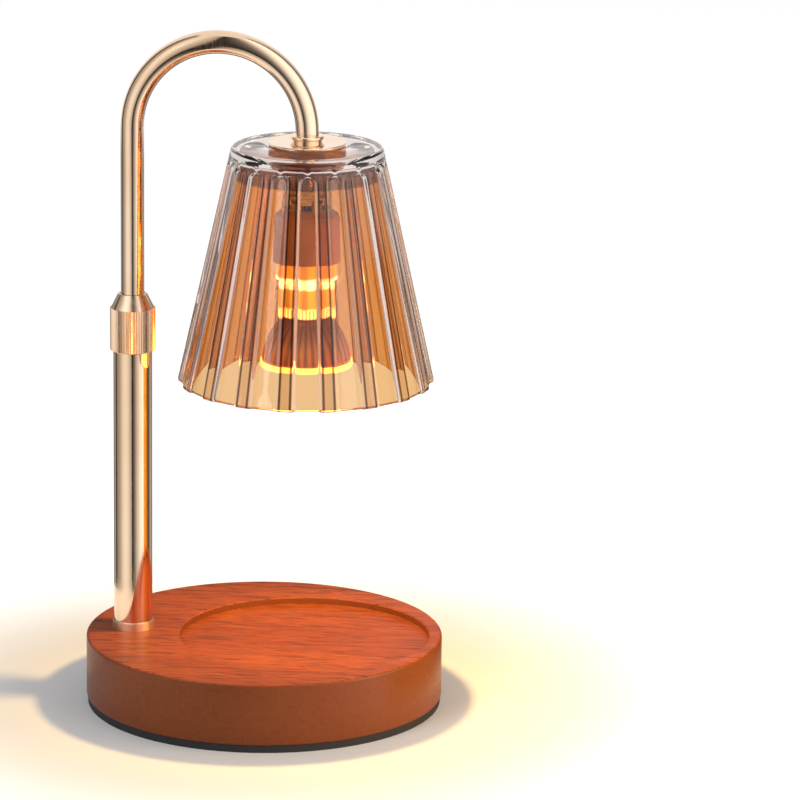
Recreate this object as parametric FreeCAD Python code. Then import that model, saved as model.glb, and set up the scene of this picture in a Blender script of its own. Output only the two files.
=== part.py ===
import FreeCAD, Part
import math
import os

# Candle warmer lamp. Millimetres, +Z up. The origin is the bottom centre of the round base,
# and +X runs from the post towards the shade.

# Clearances
FIT = 0.05            # radial play of a turned fit
LOOSE = 0.30          # radial play of a clearance hole
CUT_PAST = 1.0        # how far a cutter runs past the face it opens
CORNER_STEPS = 3      # flats that make a rounded corner

# Base
BASE_R = 92.5
PAD_INSET = 0.7       # how far the pad stays inside the wood all round
PAD_H = 4.0
BLOCK_H = 32.0
BLOCK_TOP_ROUND = 1.4
BLOCK_FOOT_ROUND = 0.8
RECESS_RIM = 6.5      # wood left between the recess and the edge on the far side
RECESS_DEPTH = 3.5
RECESS_EASE = 0.6     # bevel round the top of the recess

# Wiring pocket under the wood
POST_INSET = 23.5     # from the edge of the wood to the post's axis
POCKET_R = 16.0
POCKET_RUN = 22.0     # distance between the two end centres of the pocket
POCKET_DEPTH = 22.0
COVER_RIM = 5.0
COVER_T = 1.6
COVER_SCREW_R = 1.2
COVER_SCREW_HEAD_R = 1.8
COVER_SCREW_HEAD_H = 1.1
COVER_SCREW_LENGTH = 8.0

# Cord inlet
INLET_RISE = 16.0     # above the foot of the wood
BUSHING_FLANGE_R = 4.4
BUSHING_FLANGE_T = 1.5
BUSHING_BODY_R = 3.4
BUSHING_HOLE_R = 2.3
BUSHING_RECESS = 0.4
BUSHING_LENGTH = 9.0

# Post and its fixing
POST_R = 10.0
POST_WALL = 1.2
POST_H = 156.0
COLLAR_T = 0.7
COLLAR_H = 4.5
COLLAR_EASE = 0.4
PLUG_H = 14.0
STUD_R = 5.0
STUD_BORE_R = 3.5
STUD_IN_PLUG = 11.0
STUD_WASHER_R = 11.0
STUD_WASHER_T = 1.6
STUD_NUT_FLATS = 17.0
STUD_NUT_H = 8.0
STUD_TAIL = 2.0
TERMINAL_LENGTH = 13.0
TERMINAL_WIDTH = 16.0
TERMINAL_H = 9.0
TERMINAL_HOLE_R = 1.6
TERMINAL_PITCH = 8.0

# Arm tube
ARM_R = 6.0
ARM_WALL = 1.0
ARM_REACH = 90.0
ARM_IN_POST = 38.0
ARM_STRAIGHT_END = 1.5
GUIDE_H = 16.0
GUIDE_LIP_H = 1.7
GUIDE_LIP_R = 4.6
CLIP_R = 7.6
CLIP_T = 0.9
CLIP_GAP = 3.0
GROOVE_DEPTH = 0.4
GROOVE_PLAY = 0.05

# Clamp at the head of the post
BUSH_FLANGE_INSET = 0.2
BUSH_FLANGE_T = 1.5
BUSH_TAIL = 6.0
BUSH_THREAD_R = 8.3
BUSH_THREAD_H = 13.0  # above the post
BUSH_BORE_R = 7.5
BUSH_FLARE = 0.7
COLLET_H = 13.8
COLLET_STAND = 4.8    # how far the collet stands out of the bush
COLLET_PLAY = 0.15
COLLET_FLARE = 0.65
COLLET_SLIT = 1.2
COLLET_SLITS = 4
COLLET_UNCUT = 2.5
THRUST_GAP = 0.2
THRUST_T = 1.4
THRUST_PLAY = 0.2
NUT_OVERLAP = 7.0     # how far the nut reaches down over the post
NUT_GRIP_H = 22.5
NUT_CONE_H = 7.5
NUT_R = 11.7
NUT_CONE_TOP_R = 7.4
NUT_SEAT_PLAY = 0.5
NUT_SKIRT_PLAY = 0.12
NUT_THREAD_PLAY = 0.1
NUT_THRUST_PLAY = 0.1
NUT_CHAMFER = 0.6
KNURL_GROOVES = 60
KNURL_DEPTH = 0.45

# Glass shade
SHADE_TOP_OVER_POST = 103.0
SHADE_H = 123.2
SHADE_FOOT_R = 66.0
SHADE_TOP_R = 38.7
SHADE_WALL = 4.3
SHADE_TOP_T = 6.0
SHADE_HOLE_R = 5.5
SHADE_TOP_ROUND = 2.4
SHADE_INNER_ROUND = 3.0
SHADE_RIM_ROUND = 1.2
FLUTES = 18
FLUTE_PHASE = -2.4    # world angle of one flute's centre, degrees
FLUTE_SPAN = 12.4     # angle that one flute takes of the circle, degrees
FLUTE_DEPTH = 1.5
FLUTE_SHOULDER = 0.9  # how much wider the flute is at the skin than at its floor, each side
FLUTE_CROWN_GAP = 8.0 # slant distance from the glass top to the crown of the arches

# Stack that clamps the glass
PLATE_R = 20.0
PLATE_T = 1.0
PLATE_EASE = 0.3
UPPER_GASKET_R = 19.3
UPPER_GASKET_T = 1.6
RING_R = 8.7
RING_T = 2.2
RING_ROUND = 1.0
RING_WAIST_R = 7.7
RING_WAIST_T = 1.2
LOWER_GASKET_R = 16.0
LOWER_GASKET_T = 1.4
LOWER_WASHER_R = 15.0
LOWER_WASHER_T = 1.2
LOCK_NUT_FLATS = 14.0
LOCK_NUT_H = 4.0
NIPPLE_R = 4.9
NIPPLE_BORE_R = 3.5
NIPPLE_IN_ARM = 2.0
NIPPLE_TAIL = 0.4

# Lampholder
BRIDGE_DROP = 25.5    # below the top of the glass
BRACKET_RISE = 6.5    # from the cup to the bridge
BRACKET_T = 1.2
BRACKET_HALF = 11.0
BRACKET_WIDTH = 12.0
BRACKET_FOOT = 6.8
THIN_NUT_H = 3.0
BRACKET_SCREW_R = 1.5
BRACKET_SCREW_HEAD_R = 2.4
BRACKET_SCREW_HEAD_H = 1.4
BRACKET_SCREW_LENGTH = 5.0
BRACKET_SCREW_X = 7.2
CUP_R = 17.5
CUP_H = 26.0
CUP_DOME_H = 3.6
CUP_TOP_R = 12.0
CUP_WALL = 1.0
CERAMIC_SKIRT_R = 15.0
CERAMIC_SKIRT_H = 9.0
CERAMIC_H = 23.0
CERAMIC_BODY_PLAY = 0.3
SLOT_LIP_T = 2.5
SLOT_H = 6.0
SLOT_PLAY = 0.35
CONTACT_SIDE = 2.6
CONTACT_GAP = 0.4
CONTACT_TAG = 2.0
LEAD_R = 0.9
LEAD_HALF_PITCH = 1.6
LEAD_IN_NIPPLE = 5.3
LEAD_KNEE_DROP = 4.0

# Reflector lamp with two bayonet pins
BULB_RIM_R = 25.0
BULB_RIM_H = 3.0
BULB_FLARE_R = 24.0
BULB_NECK_R = 12.2
BULB_FLARE_H = 19.5
BULB_NECK_H = 8.0
BULB_CAP_H = 14.7
BULB_SEAT_GAP = 0.3
BULB_CAP_R = 12.4
BULB_CAP_BEVEL = 2.2
BULB_WALL = 1.3
BULB_LENS_T = 1.5
BULB_FLARE_STEPS = 5
PIN_HALF_PITCH = 5.0
PIN_NECK_R = 1.55
PIN_HEAD_R = 2.5
PIN_HEAD_H = 3.5
PIN_H = 7.2
PIN_ROOT = 2.5
TWIST_DEG = 40.0
CAPSULE_R = 5.2
CAPSULE_WALL = 0.8
CAPSULE_H = 23.0
CAPSULE_IN_CAP = 3.0
FILAMENT_R = 0.9
FILAMENT_LENGTH = 4.0
FILAMENT_RISE = 5.5   # above the tip of the capsule
FILAMENT_POST_R = 0.35

# Places across
POST_X = POST_INSET - BASE_R
SHADE_X = POST_X + ARM_REACH
ARM_BEND_R = ARM_REACH / 2
PAD_R = BASE_R - PAD_INSET
RECESS_R = BASE_R - RECESS_RIM - SHADE_X
POCKET_FAR_X = POST_X + POCKET_RUN
POST_BORE_R = POST_R - POST_WALL
ARM_BORE_R = ARM_R - ARM_WALL

COLLAR_R = POST_R + COLLAR_T
BUSH_FLANGE_R = POST_R - BUSH_FLANGE_INSET
COLLET_BODY_R = BUSH_BORE_R - COLLET_PLAY
COLLET_HEAD_R = COLLET_BODY_R + COLLET_FLARE
NUT_BORE_R = BUSH_THREAD_R + NUT_THREAD_PLAY
NUT_MOUTH_R = ARM_R + LOOSE
THRUST_OUTER_R = NUT_BORE_R - THRUST_PLAY
THRUST_INNER_R = ARM_R + LOOSE

# Levels, from the table up
BLOCK_TOP_Z = PAD_H + BLOCK_H
RECESS_Z = BLOCK_TOP_Z - RECESS_DEPTH
POCKET_Z = PAD_H + POCKET_DEPTH
INLET_Z = PAD_H + INLET_RISE
POST_TOP_Z = BLOCK_TOP_Z + POST_H
ARM_FOOT_Z = POST_TOP_Z - ARM_IN_POST
GUIDE_TOP_Z = ARM_FOOT_Z - GUIDE_LIP_H + GUIDE_H
GROOVE_Z = GUIDE_TOP_Z + LOOSE
BUSH_THREAD_TOP_Z = POST_TOP_Z + BUSH_THREAD_H
COLLET_TOP_Z = BUSH_THREAD_TOP_Z + COLLET_STAND
COLLET_FOOT_Z = COLLET_TOP_Z - COLLET_H
NUT_FOOT_Z = POST_TOP_Z - NUT_OVERLAP
NUT_CONE_Z = NUT_FOOT_Z + NUT_GRIP_H
NUT_TOP_Z = NUT_CONE_Z + NUT_CONE_H
THRUST_Z = COLLET_TOP_Z + THRUST_GAP
NUT_SHOULDER_Z = THRUST_Z + THRUST_T + NUT_THRUST_PLAY

# Levels of the shade and of the stack that clamps it
SHADE_TOP_Z = POST_TOP_Z + SHADE_TOP_OVER_POST
SHADE_FOOT_Z = SHADE_TOP_Z - SHADE_H
SHADE_CEILING_Z = SHADE_TOP_Z - SHADE_TOP_T
PLATE_FOOT_Z = SHADE_TOP_Z + UPPER_GASKET_T
RING_FOOT_Z = PLATE_FOOT_Z + PLATE_T
ARM_END_Z = RING_FOOT_Z + RING_WAIST_T + RING_T
ARM_BEND_Z = ARM_END_Z + ARM_STRAIGHT_END
LOWER_GASKET_Z = SHADE_CEILING_Z - LOWER_GASKET_T
LOWER_WASHER_Z = LOWER_GASKET_Z - LOWER_WASHER_T
LOCK_NUT_Z = LOWER_WASHER_Z - LOCK_NUT_H

# Levels of the lampholder and of the bulb, from the bridge down
BRIDGE_Z = SHADE_TOP_Z - BRIDGE_DROP
BRIDGE_TOP_Z = BRIDGE_Z + BRACKET_T
NIPPLE_FOOT_Z = BRIDGE_Z - THIN_NUT_H - NIPPLE_TAIL
CUP_TOP_Z = BRIDGE_Z - BRACKET_RISE
CUP_SHOULDER_Z = CUP_TOP_Z - CUP_DOME_H
CUP_FOOT_Z = CUP_TOP_Z - CUP_H
CERAMIC_FOOT_Z = CUP_FOOT_Z - CERAMIC_SKIRT_H
CERAMIC_TOP_Z = CERAMIC_FOOT_Z + CERAMIC_H
SLOT_FLOOR_Z = CERAMIC_FOOT_Z + SLOT_LIP_T
SLOT_CEILING_Z = SLOT_FLOOR_Z + SLOT_H
BULB_CAP_TOP_Z = CERAMIC_FOOT_Z - BULB_SEAT_GAP
PIN_TOP_Z = BULB_CAP_TOP_Z + PIN_H
PIN_HEAD_FOOT_Z = PIN_TOP_Z - PIN_HEAD_H
CONTACT_FOOT_Z = PIN_TOP_Z + CONTACT_GAP
CONTACT_TOP_Z = CERAMIC_TOP_Z + CONTACT_TAG
LEAD_TOP_Z = BRIDGE_TOP_Z + LEAD_IN_NIPPLE
LEAD_KNEE_Z = CUP_TOP_Z - LEAD_KNEE_DROP
BULB_CAP_FOOT_Z = BULB_CAP_TOP_Z - BULB_CAP_H
BULB_NECK_Z = BULB_CAP_FOOT_Z - BULB_NECK_H
BULB_FACE_Z = BULB_NECK_Z - BULB_FLARE_H - BULB_RIM_H
CAPSULE_TOP_Z = BULB_CAP_FOOT_Z + CAPSULE_IN_CAP
CAPSULE_FOOT_Z = CAPSULE_TOP_Z - CAPSULE_H
FILAMENT_Z = CAPSULE_FOOT_Z + FILAMENT_RISE

UP = FreeCAD.Vector(0, 0, 1)


def point(x, y, z):
    return FreeCAD.Vector(x, y, z)


def disc(x, low, high, radius, bore=0.0):
    """Upright cylinder about (x, 0) from one level to another, with an optional bore."""
    solid = Part.makeCylinder(radius, high - low, point(x, 0, low))
    if bore:
        cutter = Part.makeCylinder(bore, high - low + 2 * CUT_PAST, point(x, 0, low - CUT_PAST))
        solid = solid.cut(cutter)
    return solid


def turned(x, outline):
    """Solid of revolution about the upright axis through (x, 0), from (radius, level) pairs."""
    corners = [point(x + r, 0, z) for r, z in outline]
    wire = Part.makePolygon(corners + corners[:1])
    return Part.Face(wire).revolve(point(x, 0, 0), UP, 360)


def corner(centre_r, centre_z, radius, start_deg, end_deg):
    """Points of a rounded corner, from one outward angle to another."""
    points = []
    for k in range(CORNER_STEPS + 1):
        angle = math.radians(start_deg + (end_deg - start_deg) * k / CORNER_STEPS)
        points.append((centre_r + radius * math.cos(angle), centre_z + radius * math.sin(angle)))
    return points


def hexagon(x, low, high, flats, bore):
    """Hexagon nut about (x, 0)."""
    corner_r = flats / 2 / math.cos(math.pi / 6)
    angles = [math.radians(60 * k) for k in range(7)]
    wire = Part.makePolygon([point(x + corner_r * math.cos(a), corner_r * math.sin(a), low) for a in angles])
    solid = Part.Face(wire).extrude(point(0, 0, high - low))
    bored = solid.cut(Part.makeCylinder(bore, high - low + 2 * CUT_PAST, point(x, 0, low - CUT_PAST)))
    chamfer = (corner_r - flats / 2) / 2
    envelope = turned(x, [
        (0, low), (corner_r - chamfer, low), (corner_r, low + chamfer),
        (corner_r, high - chamfer), (corner_r - chamfer, high), (0, high),
    ])
    return bored.common(envelope)


def block(x_low, x_high, y_half, z_low, z_high):
    return Part.makeBox(x_high - x_low, 2 * y_half, z_high - z_low, point(x_low, -y_half, z_low))


def obround(radius, low, high):
    """Slot-shaped solid about the two end centres of the wiring pocket."""
    near = disc(POST_X, low, high, radius)
    far = disc(POCKET_FAR_X, low, high, radius)
    bar = block(POST_X, POCKET_FAR_X, radius, low, high)
    return near.fuse(far).fuse(bar).removeSplitter()


def along_x(x_low, x_high, y, z, radius):
    return Part.makeCylinder(radius, x_high - x_low, point(x_low, y, z), point(1, 0, 0))


def swept(path_edges, start, direction, radius):
    """Round bar of one radius along a path of tangent edges."""
    profile = Part.Wire([Part.makeCircle(radius, start, direction)])
    return Part.Wire(path_edges).makePipeShell([profile], True, False)


# Base

def base_pad():
    return disc(0, 0, PAD_H, PAD_R)


def cover_screw_places():
    offset = POCKET_R + COVER_RIM / 2
    return [(x, side * offset) for x in (POST_X, POCKET_FAR_X) for side in (-1, 1)]


def base_block():
    top_r, foot_r = BLOCK_TOP_ROUND, BLOCK_FOOT_ROUND
    foot_edge = corner(BASE_R - foot_r, PAD_H + foot_r, foot_r, -90, 0)
    top_edge = corner(BASE_R - top_r, BLOCK_TOP_Z - top_r, top_r, 0, 90)
    blank = turned(0, [(0, PAD_H)] + foot_edge + top_edge + [(0, BLOCK_TOP_Z)])
    lip_r = RECESS_R + RECESS_EASE + CUT_PAST
    blank = blank.cut(turned(SHADE_X, [
        (0, RECESS_Z), (RECESS_R, RECESS_Z), (RECESS_R, BLOCK_TOP_Z - RECESS_EASE),
        (lip_r, BLOCK_TOP_Z + CUT_PAST), (0, BLOCK_TOP_Z + CUT_PAST),
    ]))
    blank = blank.cut(obround(POCKET_R, PAD_H - CUT_PAST, POCKET_Z))
    blank = blank.cut(obround(POCKET_R + COVER_RIM, PAD_H - CUT_PAST, PAD_H + COVER_T))
    blank = blank.cut(disc(POST_X, PAD_H, BLOCK_TOP_Z + CUT_PAST, STUD_R + LOOSE))
    for x, y in cover_screw_places():
        pilot = Part.makeCylinder(COVER_SCREW_R + FIT, COVER_SCREW_LENGTH + CUT_PAST, point(x, y, PAD_H))
        blank = blank.cut(pilot)
    flange_x = BUSHING_RECESS + BUSHING_FLANGE_T - BASE_R
    blank = blank.cut(along_x(-BASE_R - CUT_PAST, flange_x, 0, INLET_Z, BUSHING_FLANGE_R + FIT))
    return blank.cut(along_x(-BASE_R - CUT_PAST, POST_X, 0, INLET_Z, BUSHING_BODY_R + FIT))


def cord_bushing():
    outer_x = BUSHING_RECESS - BASE_R
    flange = along_x(outer_x, outer_x + BUSHING_FLANGE_T, 0, INLET_Z, BUSHING_FLANGE_R)
    body = along_x(outer_x, outer_x + BUSHING_LENGTH, 0, INLET_Z, BUSHING_BODY_R)
    hole = along_x(outer_x - CUT_PAST, outer_x + BUSHING_LENGTH + CUT_PAST, 0, INLET_Z, BUSHING_HOLE_R)
    return flange.fuse(body).cut(hole)


def cavity_cover():
    plate = obround(POCKET_R + COVER_RIM - LOOSE, PAD_H, PAD_H + COVER_T)
    for x, y in cover_screw_places():
        plate = plate.cut(Part.makeCylinder(COVER_SCREW_R + LOOSE, COVER_T, point(x, y, PAD_H)))
        sink = Part.makeCone(
            COVER_SCREW_HEAD_R + LOOSE, COVER_SCREW_R + LOOSE, COVER_SCREW_HEAD_H, point(x, y, PAD_H)
        )
        plate = plate.cut(sink)
    return plate


def cover_screws():
    screws = []
    for x, y in cover_screw_places():
        head = Part.makeCone(COVER_SCREW_HEAD_R, COVER_SCREW_R, COVER_SCREW_HEAD_H, point(x, y, PAD_H))
        shank = Part.makeCylinder(COVER_SCREW_R, COVER_SCREW_LENGTH, point(x, y, PAD_H))
        screws.append(head.fuse(shank))
    return Part.makeCompound(screws)


def terminal_block():
    far = POCKET_FAR_X + TERMINAL_LENGTH
    body = block(POCKET_FAR_X, far, TERMINAL_WIDTH / 2, POCKET_Z - TERMINAL_H, POCKET_Z)
    middle_z = POCKET_Z - TERMINAL_H / 2
    for side in (-1, 1):
        y = side * TERMINAL_PITCH / 2
        body = body.cut(along_x(POCKET_FAR_X - CUT_PAST, far + CUT_PAST, y, middle_z, TERMINAL_HOLE_R))
        for third in (1, 2):
            x = POCKET_FAR_X + third * TERMINAL_LENGTH / 3
            well = Part.makeCylinder(TERMINAL_HOLE_R, TERMINAL_H / 2, point(x, y, POCKET_Z - TERMINAL_H))
            body = body.cut(well)
    return body


# Post

def post_collar():
    top = BLOCK_TOP_Z + COLLAR_H
    bore_r = POST_R + FIT
    return turned(POST_X, [
        (bore_r, BLOCK_TOP_Z), (COLLAR_R, BLOCK_TOP_Z), (COLLAR_R, top - COLLAR_EASE),
        (COLLAR_R - COLLAR_EASE, top), (bore_r, top),
    ])


def post_tube():
    return disc(POST_X, BLOCK_TOP_Z, POST_TOP_Z, POST_R, POST_BORE_R)


def post_plug():
    return disc(POST_X, BLOCK_TOP_Z, BLOCK_TOP_Z + PLUG_H, POST_BORE_R - FIT, STUD_R + FIT)


def post_stud():
    nut_foot = POCKET_Z - STUD_WASHER_T - STUD_NUT_H
    return disc(POST_X, nut_foot - STUD_TAIL, BLOCK_TOP_Z + STUD_IN_PLUG, STUD_R, STUD_BORE_R)


def stud_washer():
    return disc(POST_X, POCKET_Z - STUD_WASHER_T, POCKET_Z, STUD_WASHER_R, STUD_R + LOOSE)


def stud_nut():
    top = POCKET_Z - STUD_WASHER_T
    return hexagon(POST_X, top - STUD_NUT_H, top, STUD_NUT_FLATS, STUD_R + FIT)


# Clamp at the head of the post

def post_top_bush():
    flare_z = BUSH_THREAD_TOP_Z - 2 * BUSH_FLARE
    flange_top = POST_TOP_Z + BUSH_FLANGE_T
    return turned(POST_X, [
        (BUSH_BORE_R, POST_TOP_Z - BUSH_TAIL), (POST_BORE_R - FIT, POST_TOP_Z - BUSH_TAIL),
        (POST_BORE_R - FIT, POST_TOP_Z), (BUSH_FLANGE_R, POST_TOP_Z), (BUSH_FLANGE_R, flange_top),
        (BUSH_THREAD_R, flange_top), (BUSH_THREAD_R, BUSH_THREAD_TOP_Z),
        (BUSH_BORE_R + BUSH_FLARE, BUSH_THREAD_TOP_Z), (BUSH_BORE_R, flare_z),
    ])


def collet():
    cone_foot = BUSH_THREAD_TOP_Z - 2 * BUSH_FLARE + LOOSE
    cone_top = cone_foot + 2 * (COLLET_HEAD_R - COLLET_BODY_R)
    sleeve = turned(POST_X, [
        (ARM_R + FIT, COLLET_FOOT_Z), (COLLET_BODY_R, COLLET_FOOT_Z), (COLLET_BODY_R, cone_foot),
        (COLLET_HEAD_R, cone_top), (COLLET_HEAD_R, COLLET_TOP_Z), (ARM_R + FIT, COLLET_TOP_Z),
    ])
    slit_foot = COLLET_FOOT_Z + COLLET_UNCUT
    for k in range(COLLET_SLITS // 2):
        slit = block(-COLLET_HEAD_R, COLLET_HEAD_R, COLLET_SLIT / 2, slit_foot, COLLET_TOP_Z)
        slit.rotate(point(0, 0, 0), UP, k * 360 / COLLET_SLITS)
        slit.translate(point(POST_X, 0, 0))
        sleeve = sleeve.cut(slit)
    return sleeve


def thrust_ring():
    return disc(POST_X, THRUST_Z, THRUST_Z + THRUST_T, THRUST_OUTER_R, THRUST_INNER_R)


def knurled_blank():
    """Cylinder with straight vee grooves all round, as a star-shaped prism."""
    corners = []
    for k in range(2 * KNURL_GROOVES):
        radius = NUT_R - KNURL_DEPTH * (k % 2)
        angle = math.pi * k / KNURL_GROOVES
        corners.append(point(POST_X + radius * math.cos(angle), radius * math.sin(angle), NUT_FOOT_Z))
    return Part.Face(Part.makePolygon(corners + corners[:1])).extrude(point(0, 0, NUT_GRIP_H))


def clamp_nut():
    cut_r = NUT_R - NUT_CHAMFER
    envelope = turned(POST_X, [
        (0, NUT_FOOT_Z), (cut_r, NUT_FOOT_Z), (NUT_R, NUT_FOOT_Z + NUT_CHAMFER),
        (NUT_R, NUT_CONE_Z), (0, NUT_CONE_Z),
    ])
    grip = knurled_blank().common(envelope)
    cone = Part.makeCone(cut_r, NUT_CONE_TOP_R, NUT_CONE_H, point(POST_X, 0, NUT_CONE_Z))
    skirt_r = POST_R + NUT_SKIRT_PLAY
    skirt_top = POST_TOP_Z + BUSH_FLANGE_T + NUT_SEAT_PLAY
    bore = turned(POST_X, [
        (0, NUT_FOOT_Z - CUT_PAST), (skirt_r, NUT_FOOT_Z - CUT_PAST),
        (skirt_r, skirt_top), (NUT_BORE_R, skirt_top),
        (NUT_BORE_R, NUT_SHOULDER_Z), (NUT_MOUTH_R, NUT_SHOULDER_Z),
        (NUT_MOUTH_R, NUT_TOP_Z + CUT_PAST), (0, NUT_TOP_Z + CUT_PAST),
    ])
    return grip.fuse(cone).cut(bore)


# Guide and arm

def guide_bush():
    foot = ARM_FOOT_Z - GUIDE_LIP_H
    outer = POST_BORE_R - FIT
    return turned(POST_X, [
        (GUIDE_LIP_R, foot), (outer, foot), (outer, GUIDE_TOP_Z),
        (ARM_R + FIT, GUIDE_TOP_Z), (ARM_R + FIT, ARM_FOOT_Z), (GUIDE_LIP_R, ARM_FOOT_Z),
    ])


def arm_path(low, end):
    """Centre line from the post up, over the half circle and down to the shade."""
    start = point(POST_X, 0, low)
    spring = point(POST_X, 0, ARM_BEND_Z)
    crown = point(POST_X + ARM_BEND_R, 0, ARM_BEND_Z + ARM_BEND_R)
    landing = point(SHADE_X, 0, ARM_BEND_Z)
    return [
        Part.makeLine(start, spring), Part.Arc(spring, crown, landing).toShape(),
        Part.makeLine(landing, point(SHADE_X, 0, end)),
    ]


def arm_tube():
    skin = swept(arm_path(ARM_FOOT_Z, ARM_END_Z), point(POST_X, 0, ARM_FOOT_Z), UP, ARM_R)
    core = swept(
        arm_path(ARM_FOOT_Z - CUT_PAST, ARM_END_Z - CUT_PAST),
        point(POST_X, 0, ARM_FOOT_Z - CUT_PAST), UP, ARM_BORE_R,
    )
    groove = disc(POST_X, GROOVE_Z, GROOVE_Z + CLIP_T + 2 * GROOVE_PLAY, ARM_R + CUT_PAST, ARM_R - GROOVE_DEPTH)
    return skin.cut(core).cut(groove)


def retaining_clip():
    low = GROOVE_Z + GROOVE_PLAY
    ring = disc(POST_X, low, low + CLIP_T, CLIP_R, ARM_R - GROOVE_DEPTH + FIT)
    return ring.cut(block(POST_X, POST_X + CLIP_R + CUT_PAST, CLIP_GAP / 2, low, low + CLIP_T))


# Stack on the glass

def ring_nut():
    waist_top = RING_FOOT_Z + RING_WAIST_T
    bore_r = NIPPLE_R + FIT
    under = corner(RING_R - RING_ROUND, waist_top + RING_ROUND, RING_ROUND, -90, 0)
    over = corner(RING_R - RING_ROUND, ARM_END_Z - RING_ROUND, RING_ROUND, 0, 90)
    waist = [(bore_r, RING_FOOT_Z), (RING_WAIST_R, RING_FOOT_Z), (RING_WAIST_R, waist_top)]
    return turned(SHADE_X, waist + under + over + [(bore_r, ARM_END_Z)])


def shade_plate():
    bore_r = NIPPLE_R + LOOSE
    return turned(SHADE_X, [
        (bore_r, PLATE_FOOT_Z), (PLATE_R, PLATE_FOOT_Z), (PLATE_R, RING_FOOT_Z - PLATE_EASE),
        (PLATE_R - PLATE_EASE, RING_FOOT_Z), (bore_r, RING_FOOT_Z),
    ])


def upper_gasket():
    return disc(SHADE_X, SHADE_TOP_Z, PLATE_FOOT_Z, UPPER_GASKET_R, NIPPLE_R + LOOSE)


def lower_gasket():
    return disc(SHADE_X, LOWER_GASKET_Z, SHADE_CEILING_Z, LOWER_GASKET_R, NIPPLE_R + LOOSE)


def lower_washer():
    return disc(SHADE_X, LOWER_WASHER_Z, LOWER_GASKET_Z, LOWER_WASHER_R, NIPPLE_R + LOOSE)


def lock_nut():
    return hexagon(SHADE_X, LOCK_NUT_Z, LOWER_WASHER_Z, LOCK_NUT_FLATS, NIPPLE_R + FIT)


def nipple():
    return disc(SHADE_X, NIPPLE_FOOT_Z, ARM_END_Z + NIPPLE_IN_ARM, NIPPLE_R, NIPPLE_BORE_R)


# Glass shade

def flute_outline(run, half_foot, half_crown, inset):
    """Closed outline of one flute on its own plane: a tapering panel under a half-round arch.

    Local X is the tangent of the glass, local Y runs up the slant, and local Z is the depth."""
    crown_r = half_crown
    left_foot = point(-half_foot, -CUT_PAST, inset)
    right_foot = point(half_foot, -CUT_PAST, inset)
    left = point(-crown_r, run - crown_r, inset)
    right = point(crown_r, run - crown_r, inset)
    return Part.Wire([
        Part.makeLine(left_foot, right_foot), Part.makeLine(right_foot, right),
        Part.Arc(right, point(0, run, inset), left).toShape(), Part.makeLine(left, left_foot),
    ])


def flute_cutter():
    """Cutter for the flute that faces +X, with sloping shoulders."""
    rise = SHADE_TOP_Z - SHADE_FOOT_Z
    lean = SHADE_FOOT_R - SHADE_TOP_R
    slant = math.hypot(rise, lean)
    run = slant - FLUTE_CROWN_GAP
    half_angle = math.radians(FLUTE_SPAN / 2)
    crown_r = (SHADE_FOOT_R - lean * run / slant) * math.tan(half_angle)
    foot_half = SHADE_FOOT_R * math.tan(half_angle)
    slope = FLUTE_SHOULDER / FLUTE_DEPTH
    above = CUT_PAST * slope
    floor = flute_outline(
        run - FLUTE_SHOULDER, foot_half - FLUTE_SHOULDER, crown_r - FLUTE_SHOULDER, -FLUTE_DEPTH
    )
    skin = flute_outline(run + above, foot_half + above, crown_r + above, CUT_PAST)
    cutter = Part.makeLoft([floor, skin], True, True)
    tangent = point(0, 1, 0)
    up_slant = point(-lean, 0, rise).normalize()
    outward = tangent.cross(up_slant)
    placed = FreeCAD.Matrix(
        tangent.x, up_slant.x, outward.x, SHADE_X + SHADE_FOOT_R,
        tangent.y, up_slant.y, outward.y, 0,
        tangent.z, up_slant.z, outward.z, SHADE_FOOT_Z,
        0, 0, 0, 1,
    )
    cutter.Placement = FreeCAD.Placement(placed)
    return cutter


def glass_blank():
    """The glass before its flutes: a cone with a closed top, a hole and rounded edges."""
    taper = (SHADE_FOOT_R - SHADE_TOP_R) / (SHADE_TOP_Z - SHADE_FOOT_Z)
    lean_deg = math.degrees(math.atan(taper))
    stretch = math.hypot(1, taper)

    def skin(level):
        return SHADE_FOOT_R - taper * (level - SHADE_FOOT_Z)

    def lining(level):
        return skin(level) - SHADE_WALL

    top = SHADE_TOP_Z - SHADE_TOP_ROUND
    ceiling = SHADE_CEILING_Z - SHADE_INNER_ROUND
    rim = SHADE_FOOT_Z + SHADE_RIM_ROUND
    outline = [(SHADE_HOLE_R, SHADE_CEILING_Z), (SHADE_HOLE_R, SHADE_TOP_Z)]
    outline += corner(skin(top) - SHADE_TOP_ROUND * stretch, top, SHADE_TOP_ROUND, 90, lean_deg)
    outline += corner(skin(rim) - SHADE_RIM_ROUND * stretch, rim, SHADE_RIM_ROUND, lean_deg, -90)
    outline += corner(lining(rim) + SHADE_RIM_ROUND * stretch, rim, SHADE_RIM_ROUND, 270, 180 + lean_deg)
    outline += corner(lining(ceiling) - SHADE_INNER_ROUND * stretch, ceiling, SHADE_INNER_ROUND, lean_deg, 90)
    return turned(SHADE_X, outline)


def glass_shade():
    blank = glass_blank()
    first = flute_cutter()
    cutters = []
    for k in range(FLUTES):
        cutter = first.copy()
        cutter.rotate(point(SHADE_X, 0, 0), UP, FLUTE_PHASE + 360 * k / FLUTES)
        cutters.append(cutter)
    return blank.cut(cutters)


# Lampholder

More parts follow.
